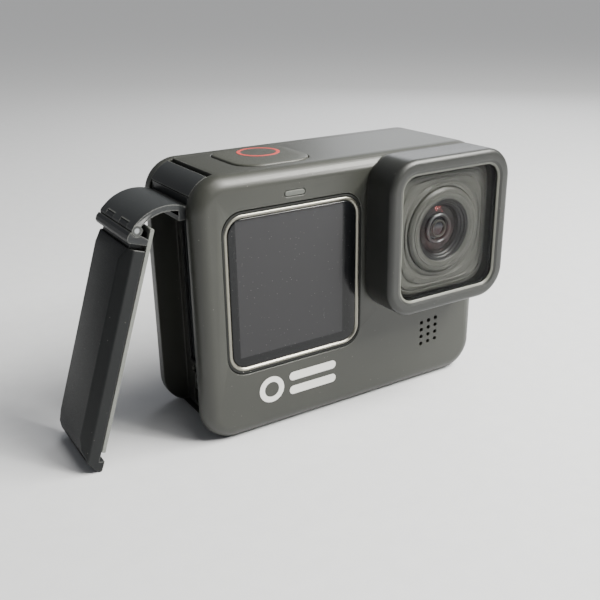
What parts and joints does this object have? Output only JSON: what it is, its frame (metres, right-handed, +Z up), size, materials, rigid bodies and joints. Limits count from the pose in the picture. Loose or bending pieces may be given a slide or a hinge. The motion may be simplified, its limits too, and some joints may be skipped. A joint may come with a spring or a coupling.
{
  "type": "action camera",
  "caption": "Pocket action camera with a square lens cover, front and rear screens, folding mount fingers, and a battery door open on its sliding hinge arm.",
  "frame": {"origin": "centre of the base", "axes": "+X to the right seen from the front, +Y from the lens to the rear screen, +Z up"},
  "size_m": [0.0953, 0.0336, 0.0553],
  "materials": {
    "body_plastic": "fine moulded texture, matt",
    "cover_plastic": "smooth moulded, satin",
    "door_plastic": "fine moulded texture, matt",
    "hinge_plastic": "smooth moulded, satin",
    "inner_plastic": "matt",
    "frame_plastic": "fine moulded texture, matt",
    "seal_rubber": "matt",
    "seal_silicone": "matt silicone, dusty",
    "screen_glass": "polished, dark tinted",
    "display_panel": "semi-gloss",
    "trim_metal": "fine satin",
    "lens_glass": "polished, coated",
    "lens_black": "matt black anodised",
    "ring_metal": "satin",
    "steel": "satin",
    "circuit_board": "solder mask",
    "contact_metal": "plated",
    "battery_label": "wrapped cell",
    "white_print": "printed",
    "red_print": "printed",
    "led_diffuser": "frosted",
    "bright_metal": "milled"
  },
  "bodies": {
    "camera_body": {"front_housing": "body_plastic", "rear_housing": "body_plastic", "rear_screen_glass": "screen_glass", "rear_display": "display_panel", "rear_status_led": "led_diffuser", "front_screen_trim": "trim_metal", "front_screen_glass": "screen_glass", "front_display": "display_panel", "front_status_led": "led_diffuser", "printed_mark": "white_print", "lens_turret": "lens_black", "lens_barrel": "lens_black", "lens_retaining_ring": "ring_metal", "front_lens_element": "lens_glass", "inner_lens_elements": "lens_glass", "image_sensor": "display_panel", "sensor_board": "circuit_board", "main_board": "circuit_board", "heat_sink": "bright_metal", "battery_case": "inner_plastic", "battery": "battery_label", "battery_pull_tab": "hinge_plastic", "battery_contacts": "contact_metal", "usb_c_port": "steel", "memory_card_slot": "steel", "shutter_switch": "inner_plastic", "mode_switch": "inner_plastic", "speaker": "inner_plastic", "microphone": "steel", "microphone_mesh": "inner_plastic", "housing_screws": "steel", "hinge_cover": "hinge_plastic", "hinge_housing": "inner_plastic", "mount_base": "inner_plastic", "finger_pins": "steel"},
    "shutter": {"shutter_button": "body_plastic", "shutter_ring": "red_print"},
    "mode": {"mode_button": "body_plastic"},
    "lens_cover": {"lens_cover_frame": "cover_plastic", "lens_cover_glass": "lens_glass", "lens_cover_seal": "seal_rubber"},
    "arm": {"hinge_arm": "hinge_plastic", "hinge_guide_pin": "steel", "door_pin": "steel"},
    "door": {"door_frame": "frame_plastic", "door_seal": "seal_silicone"},
    "latch": {"door_panel": "door_plastic"},
    "card": {"memory_card": "inner_plastic"},
    "finger_left": {"mount_finger_left": "hinge_plastic"},
    "finger_right": {"mount_finger_right": "hinge_plastic"}
  },
  "joints": [
    {"name": "shutter_press", "type": "slide", "parent": "camera_body", "child": "shutter", "axis": [0, 0, -1], "range_m": [0, 0.0005], "stiffness_N_per_m": 3000, "springref_m": -0.0003},
    {"name": "mode_press", "type": "slide", "parent": "camera_body", "child": "mode", "axis": [-1, 0, 0], "range_m": [0, 0.0004], "stiffness_N_per_m": 3000, "springref_m": -0.0003},
    {"name": "lens_cover_pull", "type": "slide", "parent": "camera_body", "child": "lens_cover", "axis": [0, -1, 0], "range_m": [0, 0.008]},
    {"name": "arm_slide", "type": "slide", "parent": "camera_body", "child": "arm", "axis": [0.9833, 0, 0.1822], "range_m": [0, 0.0112]},
    {"name": "door_swing", "type": "hinge", "parent": "arm", "child": "door", "pos_m": [-0.04483, 0, 0.04649], "axis": [0, 1, 0], "range_deg": [-18, 70]},
    {"name": "latch_slide", "type": "slide", "parent": "door", "child": "latch", "axis": [0.309, 0, 0.9511], "range_m": [0, 0.0009]},
    {"name": "card_push", "type": "slide", "parent": "camera_body", "child": "card", "axis": [1, 0, 0], "range_m": [0, 0.0008], "stiffness_N_per_m": 600, "springref_m": -0.0005},
    {"name": "finger_left_fold", "type": "hinge", "parent": "camera_body", "child": "finger_left", "pos_m": [-0.003, 0, 0.0017], "axis": [0, -1, 0], "range_deg": [0, 90]},
    {"name": "finger_right_fold", "type": "hinge", "parent": "camera_body", "child": "finger_right", "pos_m": [0.003, 0, 0.0017], "axis": [0, 1, 0], "range_deg": [0, 90]}
  ]
}
